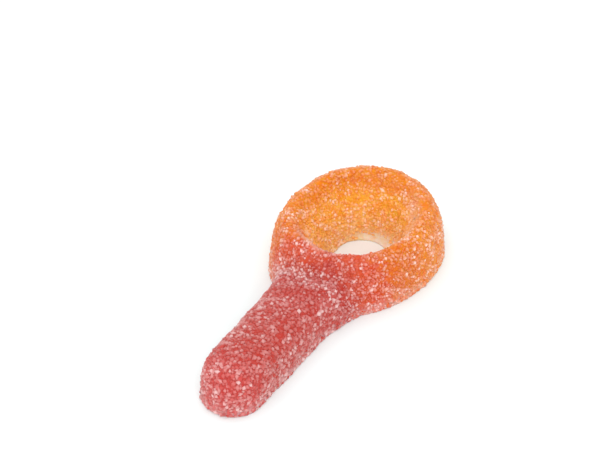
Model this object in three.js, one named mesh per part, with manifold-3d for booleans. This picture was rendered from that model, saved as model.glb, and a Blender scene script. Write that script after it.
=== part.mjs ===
// A sour dummy: one chewy sugared candy in the shape of a baby's dummy, lying on its flat back.
// It is a single casting. An oval orange ring has a funnel-shaped hole that narrows towards the
// back, and a blunt red stem grows out of its outer wall. Sugar crystals stick out all over it.
// Millimetres, +Z up. The stem points along -Y, and the origin is at the middle of the base.
import * as THREE from "three";
import { mergeVertices } from "three/addons/utils/BufferGeometryUtils.js";
import { MeshSurfaceSampler } from "three/addons/math/MeshSurfaceSampler.js";
import Module from "manifold-3d";

// The ring, measured from its own centre on the base. Its angles are in radians from +X.
const RING_RADIUS = 14.38; // mean radius of the outer wall at the base
const CREST_RADIUS = 10.6; // mean radius of the highest line
const HOLE_RADIUS = 5.8; // mean radius of the hole at the base
const RING_HEIGHT = 10.1; // mean height of the crest
const OVAL = 0.1; // the ring is longer and narrower than a round one by this share
const OVAL_TURN = 1.36; // direction of its long axis
const CREST_TILT = 0.07; // one side of the crest is higher, and the other lower, by this share
const CREST_TILT_TURN = 2.93; // direction of the higher side
const HOLE_SHIFT = new THREE.Vector2(0.8, 0.5); // the foot of the funnel is off centre
const OUTER_BULGE = 0.865; // exponent of the outer wall: below 1 is fuller than an ellipse
const FUNNEL_BULGE = 1.62; // exponent of the inner wall: 2 would be a straight cone

// The thin edge that casting leaves round the back.
const LIP = 0.25; // how far the foot of every outer wall flares
const LIP_HEIGHT = 0.6;
const FILM_LEAST = 0.5; // width of the film round the foot of the funnel
const FILM_MOST = 2.05;
const FILM_TURN = 1.1; // direction in which the film is widest
const FILM_THICKNESS = 0.4;

// The stem, by distance from the ring's centre. It starts inside the ring's wall.
const STEM_STATIONS = [
  { at: 11, sideways: 0.0, halfWidth: 8.1, height: 7.25 },
  { at: 15.5, sideways: -0.13, halfWidth: 6.75, height: 6.4 },
  { at: 20, sideways: -0.15, halfWidth: 5.75, height: 6.75 },
  { at: 27, sideways: -0.05, halfWidth: 5.5, height: 7.0 },
  { at: 35, sideways: 0.04, halfWidth: 5.2, height: 7.6 },
  { at: 43.8, sideways: 0.22, halfWidth: 4.75, height: 7.8 },
];
const STEM_FULLNESS = 3.6; // power of its superellipse section: 2 is an ellipse, more is boxier
const TIP_LENGTH = 4.8; // length of the rounded end
const TIP_LEAST_HEIGHT = 0.3; // share of the stem's height that the very end keeps

// Slow lumps on every wall, as in any soft casting.
const LUMP = 0.14;
const LUMP_LENGTH = 6.5;

// Sugar: only the coarsest crystals, half sunk in the surface.
const CRYSTALS = 260;
const CRYSTAL_SPACING = 2.2;
const CRYSTAL_LEAST = 0.65; // longest edge of a crystal
const CRYSTAL_MOST = 1.1;
const CRYSTAL_SUNK = 0.08; // how far its middle lies under the surface, as a share of its edge
const CRYSTAL_CLEAR_OF_BASE = 1.1;
const SEED = 11;

// How finely the smooth body is divided.
const RING_STEPS = 60;
const OUTER_WALL_STEPS = [0, 0.03, 0.12, 0.25, 0.4, 0.55, 0.7, 0.85]; // shares of a quarter turn
const FUNNEL_STEPS = 7;
const STEM_STEPS = 16;
const TIP_STEPS = 7;
const STEM_ARC_STEPS = 16;
const TRIM = 1; // what is cast below the base and cut away flat

// The colours flow into each other where the stem meets the ring.
const ORANGE = new THREE.Color(0.9, 0.36, 0.07);
const RED = new THREE.Color(0.62, 0.1, 0.08);
const RED_UP_TO = -11; // nearer the tip than this, from the ring's centre, all is red
const ORANGE_FROM = -5;

const wasm = await Module();
wasm.setup();

// Repeatable random numbers from 0 to 1.
function seededRandom(seed) {
  let state = seed;
  return () => {
    state = (state + 0x6d2b79f5) | 0;
    let mixed = Math.imul(state ^ (state >>> 15), 1 | state);
    mixed = (mixed + Math.imul(mixed ^ (mixed >>> 7), 61 | mixed)) ^ mixed;
    return ((mixed ^ (mixed >>> 14)) >>> 0) / 2 ** 32;
  };
}

// A geometry from flat lists of coordinates and triangle corners.
function indexedGeometry(points, corners) {
  const geometry = new THREE.BufferGeometry();
  geometry.setAttribute("position", new THREE.Float32BufferAttribute(points, 3));
  geometry.setIndex(corners);
  return geometry;
}

// A closed geometry as a solid that can be joined and cut.
function toSolid(geometry) {
  const bare = geometry.clone();
  bare.deleteAttribute("normal");
  bare.deleteAttribute("uv");
  const closed = mergeVertices(bare);
  const vertProperties = closed.attributes.position.array;
  const triVerts = Uint32Array.from(closed.index.array);
  return new wasm.Manifold(new wasm.Mesh({ numProp: 3, vertProperties, triVerts }));
}

function toGeometry(solid) {
  const { vertProperties, triVerts } = solid.getMesh();
  return indexedGeometry(Array.from(vertProperties), Array.from(triVerts));
}

// Corners of the walls between rings of points, from each ring to the next.
function wallCorners(rings, pointsPerRing, closesOnItself) {
  const corners = [];
  const walls = closesOnItself ? rings : rings - 1;
  for (let i = 0; i < walls; i++) {
    const here = i * pointsPerRing;
    const there = ((i + 1) % rings) * pointsPerRing;
    for (let k = 0; k < pointsPerRing; k++) {
      const up = (k + 1) % pointsPerRing;
      corners.push(here + k, there + k, there + up, here + k, there + up, here + up);
    }
  }
  return corners;
}

// How far a wall stands out at a place, within LUMP either way.
function lump(x, y, z) {
  const turn = (2 * Math.PI) / LUMP_LENGTH;
  const waves =
    Math.sin(x * turn + 1.3 * Math.sin(y * turn * 0.6)) +
    Math.sin(y * turn * 0.9 + 1.7 + 0.9 * Math.sin(z * turn * 0.8)) +
    Math.sin((x + z) * turn * 1.9 + y * 0.7);
  return (LUMP * waves) / 3;
}

function lipAt(height) {
  return LIP * Math.exp(-((height / LIP_HEIGHT) ** 2));
}

// The closed section of the ring at one angle, as [radius, height, share of HOLE_SHIFT].
function ringSection(angle) {
  const oval = 1 + OVAL * Math.cos(2 * (angle - OVAL_TURN));
  const height = RING_HEIGHT * (1 + CREST_TILT * Math.cos(angle - CREST_TILT_TURN));
  const outer = RING_RADIUS * oval;
  const crest = CREST_RADIUS * oval;
  const hole = HOLE_RADIUS * oval;
  const section = [[outer + LIP, -TRIM, 0]];
  for (const share of OUTER_WALL_STEPS) {
    const t = (share * Math.PI) / 2;
    const z = height * Math.sin(t) ** OUTER_BULGE;
    section.push([crest + (outer - crest) * Math.cos(t) ** OUTER_BULGE + lipAt(z), z, 0]);
  }
  const foot = Math.asin((FILM_THICKNESS / height) ** (1 / FUNNEL_BULGE));
  for (let i = 0; i <= FUNNEL_STEPS; i++) {
    const t = THREE.MathUtils.lerp(Math.PI / 2, foot, i / FUNNEL_STEPS);
    const z = height * Math.sin(t) ** FUNNEL_BULGE;
    const r = crest - (crest - hole) * Math.max(0, Math.cos(t)) ** FUNNEL_BULGE;
    section.push([r, z, 1 - z / height]);
  }
  const towards = Math.max(0, Math.cos(angle - FILM_TURN));
  const edge = hole - THREE.MathUtils.lerp(FILM_LEAST, FILM_MOST, towards);
  section.push([edge, FILM_THICKNESS / 2, 1], [edge, -TRIM, 1]);
  return section;
}

function ringGeometry() {
  const points = [];
  for (let i = 0; i < RING_STEPS; i++) {
    const angle = (i / RING_STEPS) * 2 * Math.PI;
    for (const [radius, z, shift] of ringSection(angle)) {
      const x = radius * Math.cos(angle) + HOLE_SHIFT.x * shift;
      const y = radius * Math.sin(angle) + HOLE_SHIFT.y * shift;
      const swell = z > FILM_THICKNESS ? lump(x, y, z) : 0;
      points.push(x + swell * Math.cos(angle), y + swell * Math.sin(angle), z);
    }
  }
  return indexedGeometry(points, wallCorners(RING_STEPS, ringSection(0).length, true));
}

// The stem at a distance from the ring's centre: its middle, half width and height.
const stemProfile = new THREE.CubicInterpolant(
  STEM_STATIONS.map((station) => station.at),
  STEM_STATIONS.flatMap(({ sideways, halfWidth, height }) => [sideways, halfWidth, height]),
  3,
);
function stemAt(distance) {
  const [sideways, halfWidth, height] = stemProfile.evaluate(distance);
  const toTip = STEM_STATIONS.at(-1).at - distance;
  if (toTip >= TIP_LENGTH) return { sideways, halfWidth, height };
  const round = Math.sqrt(1 - (1 - toTip / TIP_LENGTH) ** 2);
  const lower = THREE.MathUtils.lerp(TIP_LEAST_HEIGHT, 1, round);
  return { sideways, halfWidth: halfWidth * round, height: height * lower };
}

// The closed section of the stem, as [x, z]: a superellipse arch, and the trim below it.
function stemSection({ halfWidth, height }) {
  const section = [];
  for (let i = 0; i <= STEM_ARC_STEPS; i++) {
    const angle = (i / STEM_ARC_STEPS) * Math.PI;
    const across = Math.abs(Math.cos(angle) / halfWidth) ** STEM_FULLNESS;
    const up = Math.abs(Math.sin(angle) / height) ** STEM_FULLNESS;
    const radius = (across + up) ** (-1 / STEM_FULLNESS);
    const z = radius * Math.sin(angle);
    section.push([(radius + lipAt(z)) * Math.cos(angle), z]);
  }
  section.push([-halfWidth - LIP, -TRIM], [halfWidth + LIP, -TRIM]);
  return section;
}

function stemGeometry() {
  const root = STEM_STATIONS[0].at;
  const tip = STEM_STATIONS.at(-1).at;
  const places = [];
  for (let i = TIP_STEPS - 1; i >= 0; i--) {
    const turn = ((i / TIP_STEPS) * Math.PI) / 2;
    places.push(tip - TIP_LENGTH * (1 - Math.sin(turn)));
  }
  for (let i = 1; i <= STEM_STEPS; i++) {
    places.push(THREE.MathUtils.lerp(tip - TIP_LENGTH, root, i / STEM_STEPS));
  }
  const points = [];
  for (const distance of places) {
    const stem = stemAt(distance);
    for (const [x, z] of stemSection(stem)) {
      const swell = z > 0 ? lump(x, -distance, z) : 0;
      const out = swell * Math.sign(x);
      points.push(stem.sideways + x + out, -distance, z + (swell * z) / RING_HEIGHT);
    }
  }
  const perSection = STEM_ARC_STEPS + 3;
  const corners = wallCorners(places.length, perSection, false);
  const last = (places.length - 1) * perSection;
  for (let k = 1; k < perSection - 1; k++) {
    corners.push(0, k, k + 1);
    corners.push(last, last + k + 1, last + k);
  }
  return indexedGeometry(points, corners);
}

// A crystal is a skewed block, turned at random.
function crystalGeometry(random, place, normal) {
  const edge = THREE.MathUtils.lerp(CRYSTAL_LEAST, CRYSTAL_MOST, random() ** 2);
  const geometry = new THREE.BoxGeometry(edge, edge * (0.65 + 0.3 * random()), edge * 0.7);
  const skew = 0.5 * (random() - 0.5);
  geometry.applyMatrix4(new THREE.Matrix4().makeShear(skew, 0, 0, skew, 0, 0));
  const turn = new THREE.Euler(random() * Math.PI, random() * Math.PI, random() * Math.PI);
  geometry.applyMatrix4(new THREE.Matrix4().makeRotationFromEuler(turn));
  const middle = place.clone().addScaledVector(normal, -CRYSTAL_SUNK * edge);
  return geometry.translate(middle.x, middle.y, middle.z);
}

// Crystals spread over the walls at random, no two closer than their spacing.
function crystalSolids(geometry) {
  const random = seededRandom(SEED);
  const sampler = new MeshSurfaceSampler(new THREE.Mesh(geometry));
  sampler.setRandomGenerator(random).build();
  const places = [];
  const solids = [];
  const place = new THREE.Vector3();
  const normal = new THREE.Vector3();
  while (solids.length < CRYSTALS) {
    sampler.sample(place, normal);
    if (place.z < CRYSTAL_CLEAR_OF_BASE) continue;
    if (places.some((other) => other.distanceTo(place) < CRYSTAL_SPACING)) continue;
    places.push(place.clone());
    solids.push(toSolid(crystalGeometry(random, place, normal)));
  }
  return solids;
}

// Each corner's colour: the ring is orange, the stem red, with a soft change between.
function paint(geometry, ringCentre) {
  const position = geometry.attributes.position;
  const colours = [];
  const colour = new THREE.Color();
  for (let i = 0; i < position.count; i++) {
    const along = position.getY(i) - ringCentre;
    const orange = THREE.MathUtils.smoothstep(along, RED_UP_TO, ORANGE_FROM);
    colour.lerpColors(RED, ORANGE, orange);
    colours.push(colour.r, colour.g, colour.b);
  }
  geometry.setAttribute("color", new THREE.Float32BufferAttribute(colours, 3));
}

// The smooth body: ring and stem in one, cut off flat at the base.
function smoothBody() {
  const size = 4 * STEM_STATIONS.at(-1).at;
  const below = new THREE.BoxGeometry(size, size, 2 * TRIM).translate(0, 0, -TRIM);
  return toSolid(ringGeometry()).add(toSolid(stemGeometry())).subtract(toSolid(below));
}

function candy() {
  let body = smoothBody();
  const smooth = toGeometry(body);
  smooth.computeBoundingBox();
  const middle = smooth.boundingBox.getCenter(new THREE.Vector3());
  for (const crystal of crystalSolids(smooth)) body = body.add(crystal);
  const geometry = toGeometry(body).translate(-middle.x, -middle.y, 0);
  paint(geometry, -middle.y);
  geometry.computeVertexNormals();
  const material = new THREE.MeshStandardMaterial({
    vertexColors: true,
    roughness: 0.55,
    metalness: 0,
    flatShading: true,
  });
  const mesh = new THREE.Mesh(geometry, material);
  mesh.name = "candy";
  return mesh;
}

const model = new THREE.Group();
model.add(candy());

export default model;
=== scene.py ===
# The looks of a sour dummy: one chewy sugared candy, an orange ring with a red stem, on its flat back.
# Shapes are worked out in millimetres from the ring's centre, and placed in metres in the frame.
import math

import bpy
import numpy as np
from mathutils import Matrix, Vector, noise
from mathutils.kdtree import KDTree


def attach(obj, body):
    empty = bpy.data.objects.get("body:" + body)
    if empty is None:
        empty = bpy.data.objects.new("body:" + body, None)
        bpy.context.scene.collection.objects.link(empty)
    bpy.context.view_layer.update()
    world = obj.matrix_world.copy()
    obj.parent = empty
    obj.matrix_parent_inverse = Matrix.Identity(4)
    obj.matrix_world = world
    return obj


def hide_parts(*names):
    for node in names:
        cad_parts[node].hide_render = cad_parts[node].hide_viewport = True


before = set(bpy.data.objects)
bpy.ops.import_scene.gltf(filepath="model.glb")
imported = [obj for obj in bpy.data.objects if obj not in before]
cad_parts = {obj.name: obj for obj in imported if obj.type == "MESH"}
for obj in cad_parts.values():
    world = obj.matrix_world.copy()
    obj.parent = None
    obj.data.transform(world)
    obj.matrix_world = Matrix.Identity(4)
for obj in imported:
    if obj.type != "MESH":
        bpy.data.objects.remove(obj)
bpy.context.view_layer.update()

MM = 0.001

# The ring, from its own centre on the base. Its angles are in radians from +X.
RING_RADIUS = 14.38  # mean radius of the outer wall at the base
CREST_RADIUS = 10.6
HOLE_RADIUS = 5.8
RING_HEIGHT = 10.1
OVAL = 0.1
OVAL_TURN = 1.36
CREST_TILT = 0.07
CREST_TILT_TURN = 2.93
HOLE_SHIFT = np.array([0.8, 0.5])
OUTER_BULGE = 0.865
FUNNEL_BULGE = 1.62

# The thin edge that casting leaves round the back: a lip outside, and a film round the foot of the hole.
LIP = 0.25
LIP_HEIGHT = 0.6
FILM_LEAST = 0.5
FILM_MOST = 2.05
FILM_TURN = 1.1
FILM_THICKNESS = 0.4
FILM_ROUNDING = 0.1
FILM_EDGE = np.array([0.85, 0.5, 0.0])  # heights of the points on its rounded edge, against its thickness

# The stem, by distance from the ring's centre: distance, middle, half width and height.
STEM_STATIONS = np.array([
    [11.0, 0.0, 8.1, 7.25],
    [15.5, -0.13, 6.75, 6.4],
    [20.0, -0.15, 5.75, 6.75],
    [27.0, -0.05, 5.5, 7.0],
    [35.0, 0.04, 5.2, 7.6],
    [43.8, 0.22, 4.75, 7.8],
])
STEM_FULLNESS = 3.6
TIP_LENGTH = 4.8
TIP_LEAST_HEIGHT = 0.3

# Slow lumps on every wall, and the finer ripples of the skin.
LUMP = 0.14
LUMP_LENGTH = 6.5
RIPPLE = 0.14
RIPPLE_LENGTH = 2.4
FINE_RIPPLE_SHARE = 0.35
FINE_RIPPLE_LENGTH = RIPPLE_LENGTH / 2.6
RIPPLE_HEIGHTS = (0.2, 1.2)  # the ripples set in between these heights

# The back sinks between its rims.
BACK_HEIGHT = 0.4  # what is lower than this is the back or its rims
BACK_FACING = -0.5  # and of that, what faces down more than this is the back
DISH = 0.38
DISH_FROM = 0.7  # distance from the back's outline
DISH_TO = 3.2

# How finely the walls are drawn, and the mesh that then joins ring and stem into one skin.
RING_STEPS = 300
OUTER_WALL_STEPS = 26
FUNNEL_STEPS = 24
STEM_STEPS = 110
TIP_STEPS = 22
STEM_ARC_STEPS = 72
SKIN_MESH = 0.24
SKIN_SOFTENING = 4

# The colours of the jelly and of sugar.
TIP_JELLY = (0.55, 0.048, 0.041, 1)
RED_JELLY = (0.495, 0.037, 0.025, 1)
MINGLED_JELLY = (0.68, 0.082, 0.016, 1)
NEAR_ORANGE_JELLY = (0.73, 0.165, 0.001, 1)
FAR_ORANGE_JELLY = (0.81, 0.25, 0.001, 1)
# The funnel's own yellower jelly, partly a painted glow of light through its thin walls; deeper in, a
# painted glow that lifts the funnel's shade.
FUNNEL_JELLY_AND_GLOW = (0.95, 0.435, 0.034, 1)
DEEP_PAINTED_GLOW = (0.99, 0.56, 0.15, 1)
FILM_JELLY = (1.0, 0.74, 0.62, 1)
MOTTLE = (0.95, 0.69, 0.5, 1)  # tint of the deeper spots
SUGAR_WHITE = (1.0, 0.955, 0.94, 1)
# A painted highlight for the inner edge of the crest.
RIM_PAINTED_HIGHLIGHT = (1.0, 0.93, 0.74, 1)
SHEEN = (1.0, 0.85, 0.82, 1)  # dusty glow where the surface turns away

# The border between the ring's orange and the stem's red, along the stem from the ring's centre.
BORDER_AT = -11.5
BORDER_PER_X = 0.17
BORDER_BULGE = 1.6  # how much further the red reaches up the ring's near crest
BULGE_AT = 3.0
BULGE_REACH = 6.0
BORDER_WANDER = 6.0  # how unevenly the colours meet
WANDER_LENGTH = 1.0
SHARPENING = 1.7  # how much sharper the border gets between these places across the stem
SHARPENING_X = (2.0, -9.0)
RED_BLEND = 5.5  # over this length red brightens towards the border
ORANGE_BLEND = 3.5  # and over this one it turns orange beyond it
FAR_ORANGE = (3.5, 12.0)  # from here to there beyond the border the orange yellows
TIP_Y = (-34.0, -42.0)  # and from here to there along the stem the red takes on the tip's tint

# The funnel's clearer, yellower jelly with a painted glow of light through its thin walls, from its mouth
# to its depth; below that a painted glow that lifts the shade towards the hole; and the deeper spots
# everywhere.
FUNNEL_RADII = (1.1 * CREST_RADIUS, 0.85 * CREST_RADIUS)
FUNNEL_HEIGHTS = (10.5, 6.0)
DEEP_GLOW_HEIGHTS = (6.0, 0.0)
SPOT_LENGTH = 0.9
SPOT_LEVELS = (0.4, 0.6)
SPOTS_Y = (-19.0, -9.0)
SPOTS_ON_STEM = 0.3  # how strong they are there, against the ring

# A painted highlight: the inner edge of the crest painted paler, on the right and on the near left.
RIM_RADIUS = 0.95 * CREST_RADIUS
RIM_WIDTHS = (1.3, 0.3)
RIM_HEIGHTS = (5.5, 7.5)
RIGHT_RIM = 0.11
RIGHT_RIM_X = (3.5, 7.0)
RIGHT_RIM_Y = (-4.5, -1.5)
LEFT_RIM = 0.2
LEFT_RIM_X = -2.5
LEFT_RIM_REACH = (4.5, 1.5)
LEFT_RIM_Y = (-8.0, -10.0)

# Sugar dust in the jelly's skin, round its foot and in the heaps, and the pale film in the hole.
DUST = 0.2
DUST_LENGTH = 0.5
DUST_FROM_COVER = 0.5  # how much of it follows the cover of sugar, and how much its own clouds
DUST_FROM_CLOUDS = 1.5
DUST_LEVELS = (0.15, 0.7)
HEAP_DUST = 0.45
HEAP_COVER = (0.9, 2.2)
DUST_PALENESS = 0.28
GRIT_LENGTH = 0.32
GRIT_DEPTH = 0.08
FOOT_PALENESS = 0.3
FOOT_RADII = (1.2 * HOLE_RADIUS, 1.6 * HOLE_RADIUS)
FOOT_HEIGHTS = (2.2, 0.2)
FILM_RADII = (1.3 * HOLE_RADIUS, 1.0 * HOLE_RADIUS)
FILM_SIDE = (-0.1 * HOLE_RADIUS, 0.8 * HOLE_RADIUS)
FILM_HEIGHTS = (1.8, 0.4)
FILM_PATCH_LENGTH = 0.9
FILM_PATCH_LEVELS = (0.3, 0.65)
FILM_LEAST_PALENESS = 0.45

# Where grains lie: in drifts and clumps with bare jelly between them, and more of them round the foot.
DRIFT = 0.8
DRIFT_LENGTH = 5.0
CLUMP = 1.4
CLUMP_LENGTH = 1.5
COVER_LEVELS = (-0.7, 0.6)
LEAST_COVER = 0.1
FAR_CREST_BARENESS = 0.35
FAR_CREST_HEIGHTS = (6.5, 9.0)
FAR_CREST_Y = (-2.0, 3.0)
FOOT_SUGAR = 0.35
FOOT_SUGAR_HEIGHTS = (0.5, 3.0)
REST_HEIGHTS = (0.0, 0.2)  # none lies where it rests on the floor
BARE_FILM_RADII = (1.2 * HOLE_RADIUS, 1.0 * HOLE_RADIUS)  # nor on the film, towards its far right
BARE_FILM_SIDE = (0.0, 0.5 * HOLE_RADIUS)
BARE_FILM_HEIGHTS = (1.6, 0.6)

# Strokes over the candy where sugar has heaped up, or where it is missing: from, to, reach and how much.
SUGAR_STROKES = (
    # the crease where the stem runs into the ring
    ((-9.0, -12.5, 1.5), (-6.5, -14.0, 4.5), 1.3, 1.6),
    ((-6.5, -14.0, 4.5), (-3.5, -15.0, 6.0), 1.2, 1.8),
    ((-1.5, -15.5, 7.0), (1.0, -15.5, 7.0), 1.1, 3.0),
    ((2.0, -15.0, 7.0), (4.5, -15.5, 6.0), 1.0, 1.4),
    # the stem's right shoulder
    ((5.0, -17.0, 5.5), (5.0, -20.5, 5.0), 1.1, 1.2),
    ((6.0, -17.0, 4.0), (6.0, -17.0, 4.0), 1.5, 1.0),
    # bare jelly and clumps along the stem
    ((-2.0, -20.0, 7.0), (2.0, -20.0, 7.0), 1.5, 0.22),
    ((-3.5, -23.5, 6.5), (-3.5, -23.5, 6.5), 1.2, 1.2),
    ((4.0, -28.5, 6.0), (4.0, -28.5, 6.0), 0.8, 1.5),
    # a heap on the stem's left edge: partly sugar and partly a painted sheen along that edge
    ((-5.0, -29.0, 6.0), (-5.0, -29.0, 6.0), 1.7, 1.3),
    ((-0.5, -27.0, 7.0), (-0.5, -27.0, 7.0), 1.0, 0.9),
    ((-2.0, -34.0, 7.5), (-2.0, -34.0, 7.5), 1.5, 1.0),
    ((6.0, -20.0, 3.5), (5.0, -33.0, 4.0), 2.2, 0.75),
    ((5.5, -33.0, 1.5), (5.5, -37.0, 1.5), 1.5, 1.1),
    ((2.5, -24.0, 7.0), (3.0, -31.0, 7.0), 1.3, 0.35),
    ((1.0, -34.5, 7.5), (4.0, -33.5, 7.0), 1.6, 0.2),
    ((3.0, -37.5, 7.5), (4.0, -39.5, 6.0), 1.3, 0.4),
    # the tip
    ((-1.5, -42.0, 6.5), (-4.0, -41.5, 4.5), 1.7, 1.0),
    ((1.0, -42.5, 6.5), (3.0, -42.0, 6.0), 1.6, 0.4),
    ((-1.0, -43.5, 3.0), (3.5, -43.0, 1.0), 2.2, 0.95),
    # the ring's near wall, its crest and its funnel
    ((-11.0, -10.0, 6.0), (-11.0, -10.0, 6.0), 3.2, 0.45),
    ((6.5, -15.0, 4.0), (8.0, -12.0, 4.0), 1.3, 0.5),
    ((9.5, -9.5, 2.0), (11.5, -6.5, 2.5), 1.3, 1.2),
    ((7.5, -10.5, 7.0), (10.0, -8.5, 6.0), 2.0, 0.4),
    ((11.5, -4.5, 5.5), (11.5, -4.5, 5.5), 2.8, 0.2),
    ((0.5, -13.0, 9.0), (0.5, -13.0, 9.0), 3.5, 0.38),
    ((5.0, -13.0, 7.5), (6.0, -12.5, 7.0), 1.2, 0.8),
    ((5.0, -11.0, 9.5), (8.0, -8.5, 9.0), 1.2, 0.7),
    ((11.0, 0.0, 8.5), (11.5, 4.0, 8.0), 1.3, 0.4),
    ((12.5, 2.0, 6.5), (12.5, 2.0, 6.5), 1.3, 0.75),
    ((-7.5, -9.0, 10.0), (-4.0, -12.0, 10.0), 1.0, 0.65),
    ((-3.5, -13.5, 9.0), (1.0, -12.0, 10.0), 1.0, 0.95),
    ((7.0, -7.0, 9.0), (7.0, -7.0, 9.0), 1.3, 1.2),
    ((-3.5, 5.5, 3.5), (-3.5, 5.5, 3.5), 1.6, 1.3),
    ((0.5, 10.0, 8.5), (0.5, 10.0, 8.5), 1.4, 1.0),
    ((3.5, 9.5, 8.5), (6.5, 6.5, 6.5), 1.6, 1.15),
)

# The whitest grains, which stand out.
WHITEST_WIDTH = 0.8
WHITEST = np.array([
    [4.0, -28.5, 6.0],
    [-1.0, -41.5, 7.0],
    [4.0, -40.0, 5.5],
    [3.0, -41.5, 6.0],
    [4.5, -20.5, 5.5],
    [3.0, -23.0, 7.0],
    [-1.0, -15.0, 6.5],
    [-6.0, -14.0, 6.0],
    [-4.5, -12.5, 9.5],
    [-8.5, -8.0, 10.5],
    [7.5, -12.5, 3.0],
    [11.5, -4.5, 5.0],
    [12.0, -2.0, 6.0],
    [11.0, -1.5, 8.5],
    [12.5, 1.0, 7.0],
    [12.0, 3.5, 7.0],
    [11.0, 1.0, 9.0],
    [-1.0, 10.0, 8.0],
])

# The three sizes of sugar. How far a grain's middle stands out of the skin is a share of its depth, and
# on_stem is how thickly the grains lie on the stem against the ring.
SUGAR_GRADES = {
    "sugar_coarse": dict(
        count=3500, gap=0.54, least=0.5, most=0.7, stands=-0.12, palest=1.35, on_stem=1.0,
        whitest=WHITEST, seed=5,
    ),
    "sugar_medium": dict(
        count=8000, gap=0.35, least=0.34, most=0.5, stands=-0.06, palest=1.05, on_stem=0.8,
        whitest=(), seed=6,
    ),
    "sugar_fine": dict(
        count=6000, gap=0.24, least=0.2, most=0.3, stands=0.0, palest=0.8, on_stem=0.15,
        whitest=(), seed=7,
    ),
}
STEM_SUGAR_Y = (-19.5, -13.5)  # the stem's kind of sugar ends and the ring's begins between these
THIN_COVER = (0, 0.2)  # grains begin to lie between these levels of cover
LEAST_CROWDING = 0.5  # how densely they lie where the cover is thin, against where it is full
TRIES = 4  # places drawn for each grain

# A grain's lean and its sizes on the stem, and how much more or less they are on the ring.
LEAN_ON_STEM = 0.2
MORE_LEAN_ON_RING = 0.1
SMALL_GRAINS = 1.6  # the higher, the more of the grains are small
WIDTH_ON_STEM = 1.23
NARROWER_ON_RING = 0.23
DEPTH_ON_STEM = 0.7
DEEPER_ON_RING = 0.3
LENGTHS = (0.9, 1.6)  # against its width
DEPTHS = (0.38, 0.62)
CORNERS_LEFT = (0.4, 0.78)  # how much wear has left of each corner
FLOOR_GAP = 0.02  # every grain stays this far above the floor

# A worn grain before its size: a foot at -1, narrower shoulders at 1, and the crown in their middle.
SIDES = 4
SHOULDER = 0.66
CROWN = 1.2
TURNS = np.arange(SIDES) * 2 * math.pi / SIDES
GIRTH = np.stack([np.cos(TURNS), np.sin(TURNS)], axis=1)
GRAIN_CORNERS = np.vstack([
    np.column_stack([GIRTH, np.full(SIDES, -1.0)]),
    np.column_stack([SHOULDER * GIRTH, np.ones(SIDES)]),
    [[0, 0, CROWN]],
])

# How pale grains are: in patches, less where few lie, and more on the ring, where more are quite white.
PATCH_LENGTH = 1.1
PATCH_CONTRAST = 1.2
PATCHY = 0.45
PATCHIER_ON_RING = 0.15
LEAST_PALENESS = 0.2  # what is left of their paleness where there is hardly any cover
PALER_ON_RING = 0.13
GLINTS = 0.014  # share of the ring's grains that are quite white
GLINTS_ON_STEM = 0.1  # how many the stem has, against the ring
GLINT_PALENESS = 1.0
# How pale foot, shoulders and crown are, on the stem and on the ring.
GRAIN_SHADES = np.repeat([[0.5, 0.85, 0.93], [0.4, 0.8, 1.1]], [SIDES, SIDES, 1], axis=1)
# How white this makes the grains, and how much whiter still the palest.
WHITENESS = 0.48
WHITENESS_CURVE = 1.3
WHITER = 0.06
WHITER_CURVE = 8

# The camera, by the direction that it looks from, and what its middle points at beside the ring.
CAMERA_AZIMUTH = math.radians(31.37)
CAMERA_ELEVATION = math.radians(39.47)
CAMERA_DISTANCE = 364.0
AIM_RIGHT = -8.80
AIM_UP = 5.55
LENS = 127.45
SENSOR = 36.0
NEAREST_SEEN = 0.01

# The studio, in metres: a white room, two soft lamps by place, size and power, and the floor.
ROOM_LIGHT = 1.08
SOFTBOXES = {
    "overhead": ((-0.2, 0.1, 0.8), 0.6, 0.8),
    "front": ((0.35, -0.6, 0.45), 0.6, 2.2),
}
FLOOR_HALF = 2.0
FLOOR_WHITE = (0.85, 0.93, 0.93, 1)
FLOOR_GRAIN = 40.0


class Wire:
    """One output of a shader node. Arithmetic on it adds Math nodes to the same recipe."""

    def __init__(self, recipe, socket):
        self.recipe = recipe
        self.socket = socket

    def math(self, operation, *values):
        return self.recipe.node("Math", {"operation": operation}, dict(enumerate(values)))

    def __add__(self, other):
        return self.math("ADD", self, other)

    def __sub__(self, other):
        return self.math("SUBTRACT", self, other)

    def __rsub__(self, other):
        return self.math("SUBTRACT", other, self)

    def __mul__(self, other):
        return self.math("MULTIPLY", self, other)

    def __pow__(self, power):
        return self.math("POWER", self, power)

    def __abs__(self):
        return self.math("ABSOLUTE", self)

    __radd__ = __add__
    __rmul__ = __mul__


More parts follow.
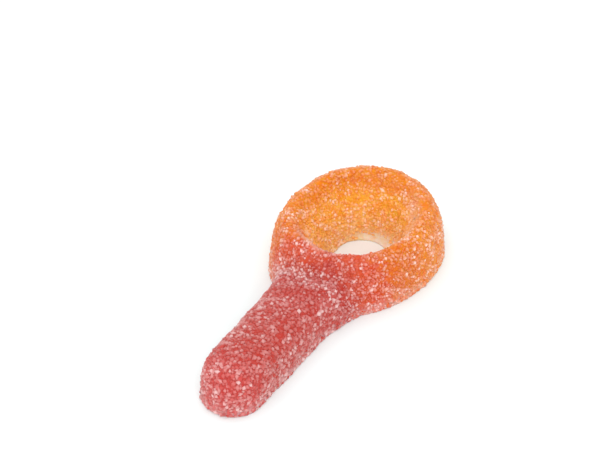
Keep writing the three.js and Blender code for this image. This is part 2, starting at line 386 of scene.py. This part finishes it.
class Recipe:
    """A material and the nodes that make its finish."""

    def __init__(self, name):
        self.material = bpy.data.materials.new(name)
        self.material.use_nodes = True
        self.tree = self.material.node_tree
        self.tree.nodes.clear()

    def node(self, kind, settings=None, sockets=None, output=0):
        """Adds a node, sets it, fills its sockets with values or wires, and gives back one output."""
        made = self.tree.nodes.new("ShaderNode" + kind)
        for name, value in (settings or {}).items():
            setattr(made, name, value)
        for name, value in (sockets or {}).items():
            if isinstance(value, Wire):
                self.tree.links.new(value.socket, made.inputs[name])
            else:
                made.inputs[name].default_value = value
        return Wire(self, made.outputs[output]) if made.outputs else made

    def place(self):
        """The place on the candy in millimetres, from the ring's centre."""
        coordinates = self.node("TexCoord", output="Object")
        away = (-RING_CENTRE[0], -RING_CENTRE[1], 0)
        scaling = {0: coordinates, 1: (1 / MM,) * 3, 2: away}
        return self.node("VectorMath", {"operation": "MULTIPLY_ADD"}, scaling)

    def along(self, vector, axis):
        """One part of a vector, by its axis."""
        return self.node("SeparateXYZ", sockets={"Vector": vector}, output=axis)

    def from_axis(self, place, shift=(0, 0)):
        """How far a place is from an upright axis, which is the ring's own or shifted from it."""
        away = (-shift[0], -shift[1], 0)
        flat = self.node("VectorMath", {"operation": "MULTIPLY_ADD"}, {0: place, 1: (1, 1, 0), 2: away})
        return self.node("VectorMath", {"operation": "LENGTH"}, {0: flat}, output="Value")

    def cloud(self, place, size, detail=2.0, roughness=0.5, shift=0.0):
        """Cloudy noise around 0.5, in patches of a size in millimetres. Each shift gives other patches."""
        moving = {0: place, 1: (shift, 2.3 * shift, -1.7 * shift)}
        moved = self.node("VectorMath", {"operation": "ADD"}, moving)
        sockets = {"Vector": moved, "Scale": 1 / size, "Detail": detail, "Roughness": roughness}
        return self.node("TexNoise", sockets=sockets)

    def ease(self, value, low, high, to_low=0.0, to_high=1.0):
        """A soft step of a value from one level to another."""
        levels = {"Value": value, "From Min": low, "From Max": high, "To Min": to_low, "To Max": to_high}
        return self.node("MapRange", {"interpolation_type": "SMOOTHSTEP"}, levels)

    def blend(self, amount, first, second):
        """A colour between two colours."""
        return self.node("Mix", {"data_type": "RGBA"}, {0: amount, 6: first, 7: second}, output=2)

    def finish(self, shader):
        """Joins the shader to the surface and gives back the material."""
        self.node("OutputMaterial", sockets={"Surface": shader})
        return self.material


def smooth_step(values, low, high):
    share = np.clip((values - low) / (high - low), 0, 1)
    return share * share * (3 - 2 * share)


def lump(x, y, z):
    """How far a wall stands out at a place, within LUMP either way: three crossing waves."""
    turn = 2 * math.pi / LUMP_LENGTH
    waves = np.sin(x * turn + 1.3 * np.sin(y * turn * 0.6))
    waves = waves + np.sin(y * turn * 0.9 + 1.7 + 0.9 * np.sin(z * turn * 0.8))
    waves = waves + np.sin((x + z) * turn * 1.9 + y * 0.7)
    return LUMP * waves / 3


def lip_at(height):
    return LIP * np.exp(-(height / LIP_HEIGHT) ** 2)


def ring_points():
    """The ring's surface, as sections round it by points round each section."""
    angle = np.linspace(0, 2 * np.pi, RING_STEPS, endpoint=False)[:, None]
    oval = 1 + OVAL * np.cos(2 * (angle - OVAL_TURN))
    height = RING_HEIGHT * (1 + CREST_TILT * np.cos(angle - CREST_TILT_TURN))
    outer, crest, hole = RING_RADIUS * oval, CREST_RADIUS * oval, HOLE_RADIUS * oval
    turn = np.linspace(0, np.pi / 2, OUTER_WALL_STEPS, endpoint=False)
    outer_z = height * np.sin(turn) ** OUTER_BULGE
    outer_r = crest + (outer - crest) * np.cos(turn) ** OUTER_BULGE + lip_at(outer_z)
    foot = np.arcsin((FILM_THICKNESS / height) ** (1 / FUNNEL_BULGE))
    turn = np.pi / 2 + (foot - np.pi / 2) * np.linspace(0, 1, FUNNEL_STEPS)
    funnel_z = height * np.sin(turn) ** FUNNEL_BULGE
    funnel_r = crest - (crest - hole) * np.maximum(0, np.cos(turn)) ** FUNNEL_BULGE
    towards = np.maximum(0, np.cos(angle - FILM_TURN))
    edge = hole - (FILM_LEAST + (FILM_MOST - FILM_LEAST) * towards)
    radius = np.hstack([outer_r, funnel_r, edge + FILM_ROUNDING, edge, edge])
    film_z = np.tile(FILM_EDGE * FILM_THICKNESS, (RING_STEPS, 1))
    z = np.hstack([outer_z, funnel_z, film_z])
    shift = np.hstack([np.zeros_like(outer_z), 1 - funnel_z / height, np.ones_like(film_z)])
    x = radius * np.cos(angle) + HOLE_SHIFT[0] * shift
    y = radius * np.sin(angle) + HOLE_SHIFT[1] * shift
    swell = np.where(z > FILM_THICKNESS, lump(x, y, z), 0)
    return np.stack([x + swell * np.cos(angle), y + swell * np.sin(angle), z], axis=-1)


def stem_profile(distance):
    """The stem's middle, half width and height at distances from the ring's centre, by smooth curves."""
    at, values = STEM_STATIONS[:, 0], STEM_STATIONS[:, 1:]
    slopes = np.diff(values, axis=0) / np.diff(at)[:, None]
    tangents = np.vstack([slopes[:1], (slopes[1:] + slopes[:-1]) / 2, slopes[-1:]])
    here = np.clip(np.searchsorted(at, distance, side="right") - 1, 0, len(at) - 2)
    span = (at[here + 1] - at[here])[:, None]
    t = (distance - at[here])[:, None] / span
    start = (1 + 2 * t) * (1 - t) ** 2 * values[here] + t * (1 - t) ** 2 * span * tangents[here]
    end = t * t * (3 - 2 * t) * values[here + 1] - t * t * (1 - t) * span * tangents[here + 1]
    return (start + end).T


def stem_points():
    """The stem's surface, as sections from its tip to its root by points over each section."""
    root, tip = STEM_STATIONS[0, 0], STEM_STATIONS[-1, 0]
    turn = np.linspace(0, np.pi / 2, TIP_STEPS, endpoint=False)[::-1]
    distance = tip - TIP_LENGTH * (1 - np.sin(turn))
    shaft = np.linspace(tip - TIP_LENGTH, root, STEM_STEPS + 1)[1:]
    distance = np.concatenate([distance, shaft])
    sideways, half_width, height = (part[:, None] for part in stem_profile(distance))
    to_tip = np.minimum(1, (tip - distance[:, None]) / TIP_LENGTH)
    rounding = np.sqrt(1 - (1 - to_tip) ** 2)
    half_width = half_width * rounding
    height = height * (TIP_LEAST_HEIGHT + (1 - TIP_LEAST_HEIGHT) * rounding)
    arc = np.linspace(0, np.pi, STEM_ARC_STEPS + 1)
    across = np.abs(np.cos(arc) / half_width) ** STEM_FULLNESS
    up = np.abs(np.sin(arc) / height) ** STEM_FULLNESS
    radius = (across + up) ** (-1 / STEM_FULLNESS)
    z = radius * np.sin(arc)
    x = (radius + lip_at(z)) * np.cos(arc)
    y = np.broadcast_to(-distance[:, None], x.shape)
    swell = np.where(z > 0, lump(x, y, z), 0)
    x_out = sideways + x + swell * np.sign(np.round(x, 6))
    return np.stack([x_out, y, z + swell * z / RING_HEIGHT], axis=-1)


def grid_faces(rows, columns, closes_on_itself, first=0):
    """Quads between rows of points, each row a closed loop."""
    row = np.arange(rows if closes_on_itself else rows - 1)[:, None]
    column = np.arange(columns)[None, :]
    there, up = (row + 1) % rows, (column + 1) % columns
    corners = [row * columns + column, there * columns + column]
    corners += [there * columns + up, row * columns + up]
    return (np.stack(corners, axis=-1).reshape(-1, 4) + first).tolist()


def body_skin(ring, stem):
    """Ring and stem grown together into one closed skin, in millimetres from the ring's centre."""
    points = np.concatenate([ring.reshape(-1, 3), stem.reshape(-1, 3)])
    first, columns = ring.shape[0] * ring.shape[1], stem.shape[1]
    faces = grid_faces(*ring.shape[:2], True)
    faces += grid_faces(*stem.shape[:2], False, first)
    last = first + (stem.shape[0] - 1) * columns
    faces.append(list(range(first, first + columns)))
    faces.append(list(range(last, last + columns))[::-1])
    mesh = bpy.data.meshes.new("casting")
    mesh.from_pydata(points.tolist(), [], faces)
    casting = bpy.data.objects.new("casting", mesh)
    bpy.context.scene.collection.objects.link(casting)
    remesh = casting.modifiers.new("skin", "REMESH")
    remesh.mode = "VOXEL"
    remesh.voxel_size = SKIN_MESH
    soften = casting.modifiers.new("soften", "SMOOTH")
    soften.iterations = SKIN_SOFTENING
    finished = casting.evaluated_get(bpy.context.evaluated_depsgraph_get())
    skin = bpy.data.meshes.new_from_object(finished)
    bpy.data.objects.remove(casting)
    return skin


def points_and_normals(mesh):
    points = np.empty(len(mesh.vertices) * 3)
    normals = np.empty(len(mesh.vertices) * 3)
    mesh.vertices.foreach_get("co", points)
    mesh.vertices.foreach_get("normal", normals)
    return points.reshape(-1, 3), normals.reshape(-1, 3)


def unevenness(points, length, shift):
    """Noise from about -1 to 1 at each point. Each shift gives another unevenness."""
    scaled = points / length + shift
    return np.array([noise.noise(Vector(point)) for point in scaled.tolist()])


def relief(skin):
    """Ripples the skin, and sinks its back between the rims that it rests on."""
    points, normals = points_and_normals(skin)
    ripple = (1 - FINE_RIPPLE_SHARE) * unevenness(points, RIPPLE_LENGTH, shift=3.1)
    ripple += FINE_RIPPLE_SHARE * unevenness(points, FINE_RIPPLE_LENGTH, shift=7.7)
    above = smooth_step(points[:, 2], *RIPPLE_HEIGHTS)[:, None]
    points += normals * above * (RIPPLE * ripple)[:, None]
    back = (normals[:, 2] < BACK_FACING) & (points[:, 2] < BACK_HEIGHT)
    rim = np.flatnonzero(~back & (points[:, 2] < BACK_HEIGHT))
    tree = KDTree(len(rim))
    for i in rim.tolist():
        tree.insert(Vector((points[i, 0], points[i, 1], 0)), i)
    tree.balance()
    inside = np.flatnonzero(back)
    far = np.array([tree.find(Vector((*points[i, :2], 0)))[2] for i in inside.tolist()])
    points[:, 2] = np.maximum(points[:, 2] - points[inside, 2].min(), 0)
    points[inside, 2] = DISH * smooth_step(far, DISH_FROM, DISH_TO)
    skin.vertices.foreach_set("co", points.ravel())
    skin.update()


def triangles(mesh, cover):
    """The corners of a mesh's triangles, with their normals, areas and cover of sugar."""
    points, _ = points_and_normals(mesh)
    mesh.calc_loop_triangles()
    corners = np.empty(len(mesh.loop_triangles) * 3, np.int32)
    mesh.loop_triangles.foreach_get("vertices", corners)
    cover = cover[corners.reshape(-1, 3)].mean(axis=1)
    corners = points[corners.reshape(-1, 3)]
    normals = np.cross(corners[:, 1] - corners[:, 0], corners[:, 2] - corners[:, 0])
    doubled = np.linalg.norm(normals, axis=1)
    return corners, normals / doubled[:, None], doubled / 2, cover


def sugar_cover(points):
    """How thickly sugar lies at each place of the skin: 0 is bare, 1 is full and a heap has more."""
    drifts = unevenness(points, DRIFT_LENGTH, shift=1.9)
    clumps = unevenness(points, CLUMP_LENGTH, shift=5.3)
    cover = LEAST_COVER + (1 - LEAST_COVER) * smooth_step(DRIFT * drifts + CLUMP * clumps, *COVER_LEVELS)
    far_crest = smooth_step(points[:, 2], *FAR_CREST_HEIGHTS) * smooth_step(points[:, 1], *FAR_CREST_Y)
    cover *= 1 - FAR_CREST_BARENESS * far_crest
    cover += FOOT_SUGAR * (1 - smooth_step(points[:, 2], *FOOT_SUGAR_HEIGHTS))
    for start, end, reach, amount in SUGAR_STROKES:
        start, stroke = np.array(start), np.subtract(end, start)
        share = np.clip((points - start) @ stroke / max(stroke @ stroke, 1.0), 0, 1)
        away = points - start - share[:, None] * stroke
        near = np.exp(-((away / reach) ** 2).sum(axis=1))
        cover += (amount - cover) * near
    radius = np.linalg.norm(points[:, :2] - HOLE_SHIFT, axis=1)
    towards = points[:, 0] * math.cos(FILM_TURN) + points[:, 1] * math.sin(FILM_TURN)
    film = smooth_step(radius, *BARE_FILM_RADII) * smooth_step(points[:, 2], *BARE_FILM_HEIGHTS)
    film *= smooth_step(towards, *BARE_FILM_SIDE)
    return cover * smooth_step(points[:, 2], *REST_HEIGHTS) * (1 - film)


def ringward(points):
    """Whether places are on the ring, 1, or on the stem, 0, or between."""
    return smooth_step(points[:, 1], *STEM_SUGAR_Y)


def scattered(sugared, count, gap, on_stem, random):
    """Random places on the skin, more of them where more sugar lies, and none within a gap of another."""
    corners, normals, areas, cover = sugared
    weights = areas * smooth_step(cover, *THIN_COVER) * (LEAST_CROWDING + (1 - LEAST_CROWDING) * cover)
    weights *= on_stem + (1 - on_stem) * ringward(corners[:, 0])
    picked = random.choice(len(weights), TRIES * count, p=weights / weights.sum())
    first, second = random.random((2, TRIES * count, 1))
    over = first + second > 1
    first, second = np.where(over, 1 - first, first), np.where(over, 1 - second, second)
    a, b, c = (corners[picked, i] for i in range(3))
    places = a + first * (b - a) + second * (c - a)
    cells = np.floor(places / gap).astype(int)
    filled, kept = {}, []
    for i, (place, cell) in enumerate(zip(places.tolist(), cells.tolist())):
        near = (filled.get((cell[0] + x, cell[1] + y, cell[2] + z), ())
                for x in (-1, 0, 1) for y in (-1, 0, 1) for z in (-1, 0, 1))
        if all(math.dist(place, other) > gap for others in near for other in others):
            filled.setdefault(tuple(cell), []).append(place)
            kept.append(i)
            if len(kept) == count:
                break
    return places[kept], normals[picked[kept]], cover[picked[kept]]


def grain_points(place, normal, ring, least, most, stands, whitest, random):
    """The corners of every grain, each turned at random about its own leaning upright."""
    count = len(place)
    up = normal + (LEAN_ON_STEM + MORE_LEAN_ON_RING * ring)[:, None] * random.normal(size=(count, 3))
    up /= np.linalg.norm(up, axis=1)[:, None]
    side = np.cross(up, random.normal(size=(count, 3)))
    side /= np.linalg.norm(side, axis=1)[:, None]
    across = np.cross(up, side)
    width = least + (most - least) * random.random((count, 1)) ** SMALL_GRAINS
    width *= (WIDTH_ON_STEM - NARROWER_ON_RING * ring)[:, None]
    width[whitest] = WHITEST_WIDTH
    length = width * random.uniform(*LENGTHS, (count, 1))
    depth = width * random.uniform(*DEPTHS, (count, 1)) * (DEPTH_ON_STEM + DEEPER_ON_RING * ring)[:, None]
    corner = random.uniform(*CORNERS_LEFT, (count, SIDES, 1))
    shape = GRAIN_CORNERS[None] * np.hstack([corner, corner, corner.max(axis=1, keepdims=True)])
    middle = place + normal * depth * stands
    points = middle[:, None] + shape[..., :1] * (side * length)[:, None]
    points += shape[..., 1:2] * (across * width)[:, None]
    points += shape[..., 2:] * (up * depth)[:, None]
    lowest = points[..., 2].min(axis=1)
    points[..., 2] += np.maximum(0, FLOOR_GAP - lowest)[:, None]
    return points


def grain_paleness(place, cover, ring, palest, whitest, random):
    """How pale the corners of every grain are."""
    count = len(place)
    patches = np.clip(0.5 + PATCH_CONTRAST * unevenness(place, PATCH_LENGTH, shift=4.4), 0, 1)
    patchy = PATCHY + PATCHIER_ON_RING * ring
    paleness = (1 - patchy) * random.random(count) + patchy * patches
    thinned = LEAST_PALENESS + (1 - LEAST_PALENESS) * cover
    paleness = np.clip(paleness * palest * thinned * (1.0 + PALER_ON_RING * ring), 0, 1)
    glinting = GLINTS * (GLINTS_ON_STEM + (1 - GLINTS_ON_STEM) * ring)
    paleness[random.random(count) < glinting] = GLINT_PALENESS
    paleness[whitest] = GLINT_PALENESS
    stem_shades, ring_shades = GRAIN_SHADES
    return paleness[:, None] * (stem_shades + (ring_shades - stem_shades) * ring[:, None])


def grain_faces(count):
    """The triangles of every grain: two on each side wall, and one from there up to the crown."""
    faces = []
    for i in range(SIDES):
        j = (i + 1) % SIDES
        faces += [(i, j, j + SIDES), (i, j + SIDES, i + SIDES), (i + SIDES, j + SIDES, 2 * SIDES)]
    return np.arange(count)[:, None, None] * len(GRAIN_CORNERS) + np.array(faces)[None]


def grains_mesh(name, sugared, count, gap, least, most, stands, palest, on_stem, whitest, seed):
    """Many grains of sugar as one mesh: worn blocks with a low crown, sunk in the skin."""
    random = np.random.default_rng(seed)
    place, normal, cover = scattered(sugared, count, gap, on_stem, random)
    ring = ringward(place)
    whitest = [np.argmin(np.linalg.norm(place - spot, axis=1)) for spot in whitest]
    points = grain_points(place, normal, ring, least, most, stands, whitest, random)
    paleness = grain_paleness(place, cover, ring, palest, whitest, random)
    faces = grain_faces(len(place))
    return mesh_from_arrays(name, points.reshape(-1, 3), faces.reshape(-1, 3), paleness.ravel())


def mesh_from_arrays(name, points, faces, paleness):
    mesh = bpy.data.meshes.new(name)
    mesh.vertices.add(len(points))
    mesh.vertices.foreach_set("co", points.ravel())
    mesh.loops.add(faces.size)
    mesh.loops.foreach_set("vertex_index", faces.ravel())
    mesh.polygons.add(len(faces))
    mesh.polygons.foreach_set("loop_start", np.arange(len(faces)) * 3)
    mesh.update(calc_edges=True)
    mesh.attributes.new("paleness", "FLOAT", "POINT").data.foreach_set("value", paleness)
    return mesh


def add_piece(name, mesh, material):
    """Puts a mesh in its place in the frame, in metres, where it stands for the solid."""
    points, _ = points_and_normals(mesh)
    mesh.vertices.foreach_set("co", ((points + RING_CENTRE) * MM).ravel())
    mesh.polygons.foreach_set("use_smooth", np.full(len(mesh.polygons), True))
    mesh.update()
    mesh.materials.clear()
    mesh.materials.append(material)
    piece = bpy.data.objects.new(name, mesh)
    bpy.context.scene.collection.objects.link(piece)
    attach(piece, "root")
    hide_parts("candy")


def painted_rim_highlight(recipe, place, x, y, height):
    """How much paler the inner edge of the crest is painted, as a painted highlight."""
    rounded = recipe.node("VectorMath", {"operation": "MULTIPLY"}, {
        0: place,
        1: (1 / (1 - OVAL), 1 / (1 + OVAL), 1),
    })
    from_crest = abs(recipe.from_axis(rounded) - RIM_RADIUS)
    rim = recipe.ease(from_crest, *RIM_WIDTHS) * recipe.ease(height, *RIM_HEIGHTS)
    right = recipe.ease(x, *RIGHT_RIM_X) * recipe.ease(y, *RIGHT_RIM_Y, 0.0, RIGHT_RIM)
    beside = abs(x - LEFT_RIM_X)
    near_left = recipe.ease(y, *LEFT_RIM_Y) * recipe.ease(beside, *LEFT_RIM_REACH, 0.0, LEFT_RIM)
    return rim * (right + near_left)


def jelly_colour(recipe, place):
    """Orange in the ring and red in the stem, with a soft uneven border between them, a painted glow in
    the funnel and a painted highlight on the crest's inner edge.
    """
    x, y, height = (recipe.along(place, axis) for axis in "XYZ")
    bulge = recipe.ease(abs(x - BULGE_AT), BULGE_REACH, 0.0, 0.0, BORDER_BULGE)
    border = BORDER_AT + BORDER_PER_X * x + bulge
    wander = recipe.cloud(place, WANDER_LENGTH, detail=3.0, roughness=0.6, shift=2.0) - 0.5
    sharpening = recipe.ease(x, *SHARPENING_X, 1.0, SHARPENING)
    beyond = (y - border) * sharpening + wander * BORDER_WANDER
    funnel = recipe.ease(recipe.from_axis(place), *FUNNEL_RADII)
    orange = recipe.blend(recipe.ease(beyond, *FAR_ORANGE), NEAR_ORANGE_JELLY, FAR_ORANGE_JELLY)
    # In the funnel, its own yellower jelly with a painted glow, and towards the hole a painted glow that
    # lifts the shade.
    ring = recipe.blend(funnel * recipe.ease(height, *FUNNEL_HEIGHTS), orange, FUNNEL_JELLY_AND_GLOW)
    ring = recipe.blend(funnel * recipe.ease(height, *DEEP_GLOW_HEIGHTS), ring, DEEP_PAINTED_GLOW)
    red = recipe.blend(recipe.ease(y, *TIP_Y), RED_JELLY, TIP_JELLY)
    mingled = recipe.blend(recipe.ease(beyond, -RED_BLEND, 0), red, MINGLED_JELLY)
    colour = recipe.blend(recipe.ease(beyond, 0, ORANGE_BLEND), mingled, ring)
    spots = recipe.cloud(place, SPOT_LENGTH, detail=4.0, roughness=0.75, shift=11.0)
    spots = recipe.ease(spots, *SPOT_LEVELS) * recipe.ease(y, *SPOTS_Y, SPOTS_ON_STEM, 1.0)
    multiply = {"data_type": "RGBA", "blend_type": "MULTIPLY"}
    colour = recipe.node("Mix", multiply, {0: spots, 6: colour, 7: MOTTLE}, output=2)
    # A painted highlight along the crest's inner edge.
    return recipe.blend(painted_rim_highlight(recipe, place, x, y, height), colour, RIM_PAINTED_HIGHLIGHT)


def film_paleness(recipe, place, radius, height):
    """How pale the film is, in patches, towards its far right."""
    towards = recipe.node("VectorMath", {"operation": "DOT_PRODUCT"}, {
        0: place,
        1: (math.cos(FILM_TURN), math.sin(FILM_TURN), 0),
    }, output="Value")
    film = recipe.ease(radius, *FILM_RADII) * recipe.ease(towards, *FILM_SIDE)
    film = film * recipe.ease(height, *FILM_HEIGHTS)
    patches = recipe.cloud(place, FILM_PATCH_LENGTH, shift=5.0)
    return film * recipe.ease(patches, *FILM_PATCH_LEVELS, FILM_LEAST_PALENESS, 1.0)


def jelly_material():
    """Soft jelly, deep in colour, dusted with fine sugar."""
    recipe = Recipe("sour_jelly")
    place = recipe.place()
    jelly = jelly_colour(recipe, place)
    cover = recipe.node("Attribute", {"attribute_name": "cover"}, output="Fac")
    clouds = recipe.cloud(place, DUST_LENGTH, detail=3.0, roughness=0.65)
    dust = DUST_FROM_COVER * cover + DUST_FROM_CLOUDS * (clouds - 0.5)
    dusted = recipe.ease(dust, *DUST_LEVELS, 0.0, DUST) + recipe.ease(cover, *HEAP_COVER, 0.0, HEAP_DUST)
    radius = recipe.from_axis(place, HOLE_SHIFT)
    height = recipe.along(place, "Z")
    foot = recipe.ease(radius, *FOOT_RADII) * recipe.ease(height, *FOOT_HEIGHTS, 0.0, FOOT_PALENESS)
    colour = recipe.blend(film_paleness(recipe, place, radius, height), jelly, FILM_JELLY)
    grit = recipe.cloud(place, GRIT_LENGTH, shift=8.0)
    bump = recipe.node("Bump", sockets={"Strength": 0.5, "Distance": GRIT_DEPTH * MM, "Height": grit})
    body = recipe.node("BsdfPrincipled", sockets={
        "Base Color": recipe.blend(foot, colour, SUGAR_WHITE),
        "Roughness": 0.38,
        "Normal": bump,
        "Subsurface Weight": 0.6,
        "Subsurface Radius": (1.0, 0.4, 0.2),
        "Subsurface Scale": 1.6 * MM,
        "Specular IOR Level": 0.2,
        "Sheen Weight": 0.2,
        "Sheen Roughness": 0.4,
        "Sheen Tint": SHEEN,
    })
    frost = recipe.node("BsdfPrincipled", sockets={
        "Base Color": recipe.blend(DUST_PALENESS, jelly, SUGAR_WHITE),
        "Roughness": 0.6,
        "Normal": bump,
        "Specular IOR Level": 0.2,
    })
    return recipe.finish(recipe.node("MixShader", sockets={0: dusted, 1: body, 2: frost}))


def sugar_material():
    """Crystals that take up the colour under them, some clear and some white."""
    recipe = Recipe("sugar_crystal")
    jelly = jelly_colour(recipe, recipe.place())
    paleness = recipe.node("Attribute", {"attribute_name": "paleness"}, output="Fac")
    white = WHITENESS * paleness ** WHITENESS_CURVE + WHITER * paleness ** WHITER_CURVE
    shader = recipe.node("BsdfPrincipled", sockets={
        "Base Color": recipe.blend(white, jelly, SUGAR_WHITE),
        "Roughness": 0.3,
        "Specular IOR Level": 0.25,
        "Sheen Weight": 0.2,
        "Sheen Roughness": 0.4,
        "Sheen Tint": SHEEN,
    })
    return recipe.finish(shader)


def floor_material():
    recipe = Recipe("pale_floor")
    coordinates = recipe.node("TexCoord", output="Object")
    grain = recipe.node("TexNoise", sockets={"Vector": coordinates, "Scale": FLOOR_GRAIN})
    shader = recipe.node("BsdfPrincipled", sockets={
        "Base Color": FLOOR_WHITE,
        "Roughness": 0.7 + 0.1 * grain,
        "Specular IOR Level": 0.2,
    })
    return recipe.finish(shader)


def add_floor():
    half = FLOOR_HALF
    corners = [(-half, -half, 0), (half, -half, 0), (half, half, 0), (-half, half, 0)]
    mesh = bpy.data.meshes.new("floor")
    mesh.from_pydata(corners, [], [(0, 1, 2, 3)])
    mesh.materials.append(floor_material())
    floor = bpy.data.objects.new("floor", mesh)
    bpy.context.scene.collection.objects.link(floor)


def add_softbox(name, place, size, power):
    """A square lamp that faces the candy."""
    lamp = bpy.data.lights.new(name, "AREA")
    lamp.size = size
    lamp.energy = power
    holder = bpy.data.objects.new(name, lamp)
    holder.location = place
    holder.rotation_euler = (-Vector(place)).to_track_quat("-Z", "Y").to_euler()
    bpy.context.scene.collection.objects.link(holder)


def add_light():
    world = bpy.data.worlds.new("studio")
    world.use_nodes = True
    room = world.node_tree.nodes["Background"]
    room.inputs["Color"].default_value = (1, 1, 1, 1)
    room.inputs["Strength"].default_value = ROOM_LIGHT
    bpy.context.scene.world = world
    for name, (place, size, power) in SOFTBOXES.items():
        add_softbox(name, place, size, power)


def add_camera():
    azimuth, elevation = CAMERA_AZIMUTH, CAMERA_ELEVATION
    right = Vector((math.cos(azimuth), math.sin(azimuth), 0))
    back = Vector((math.sin(azimuth), -math.cos(azimuth), 0)) * math.cos(elevation)
    back += Vector((0, 0, math.sin(elevation)))
    up = back.cross(right)
    aim = Vector(RING_CENTRE) + AIM_RIGHT * right + AIM_UP * up
    lens = bpy.data.cameras.new("camera")
    lens.sensor_width = SENSOR
    lens.lens = LENS
    lens.clip_start = NEAREST_SEEN
    camera = bpy.data.objects.new("camera", lens)
    camera.location = (aim + CAMERA_DISTANCE * back) * MM
    camera.rotation_euler = back.to_track_quat("Z", "Y").to_euler()
    bpy.context.scene.collection.objects.link(camera)
    bpy.context.scene.camera = camera


ring, stem = ring_points(), stem_points()
outline = np.concatenate([ring.reshape(-1, 3), stem.reshape(-1, 3)])
# The frame's origin is the middle of the whole back, and this is where the ring's centre lies from it.
RING_CENTRE = -(outline.min(axis=0) + outline.max(axis=0)) / 2 * np.array([1, 1, 0])

add_camera()
skin = body_skin(ring, stem)
relief(skin)
cover = sugar_cover(points_and_normals(skin)[0])
skin.attributes.new("cover", "FLOAT", "POINT").data.foreach_set("value", cover)
sugared = triangles(skin, cover)
sugar = sugar_material()
for name, grade in SUGAR_GRADES.items():
    add_piece(name, grains_mesh(name, sugared, **grade), sugar)
add_piece("jelly_body", skin, jelly_material())
add_floor()
add_light()
bpy.context.scene.view_settings.view_transform = "Standard"
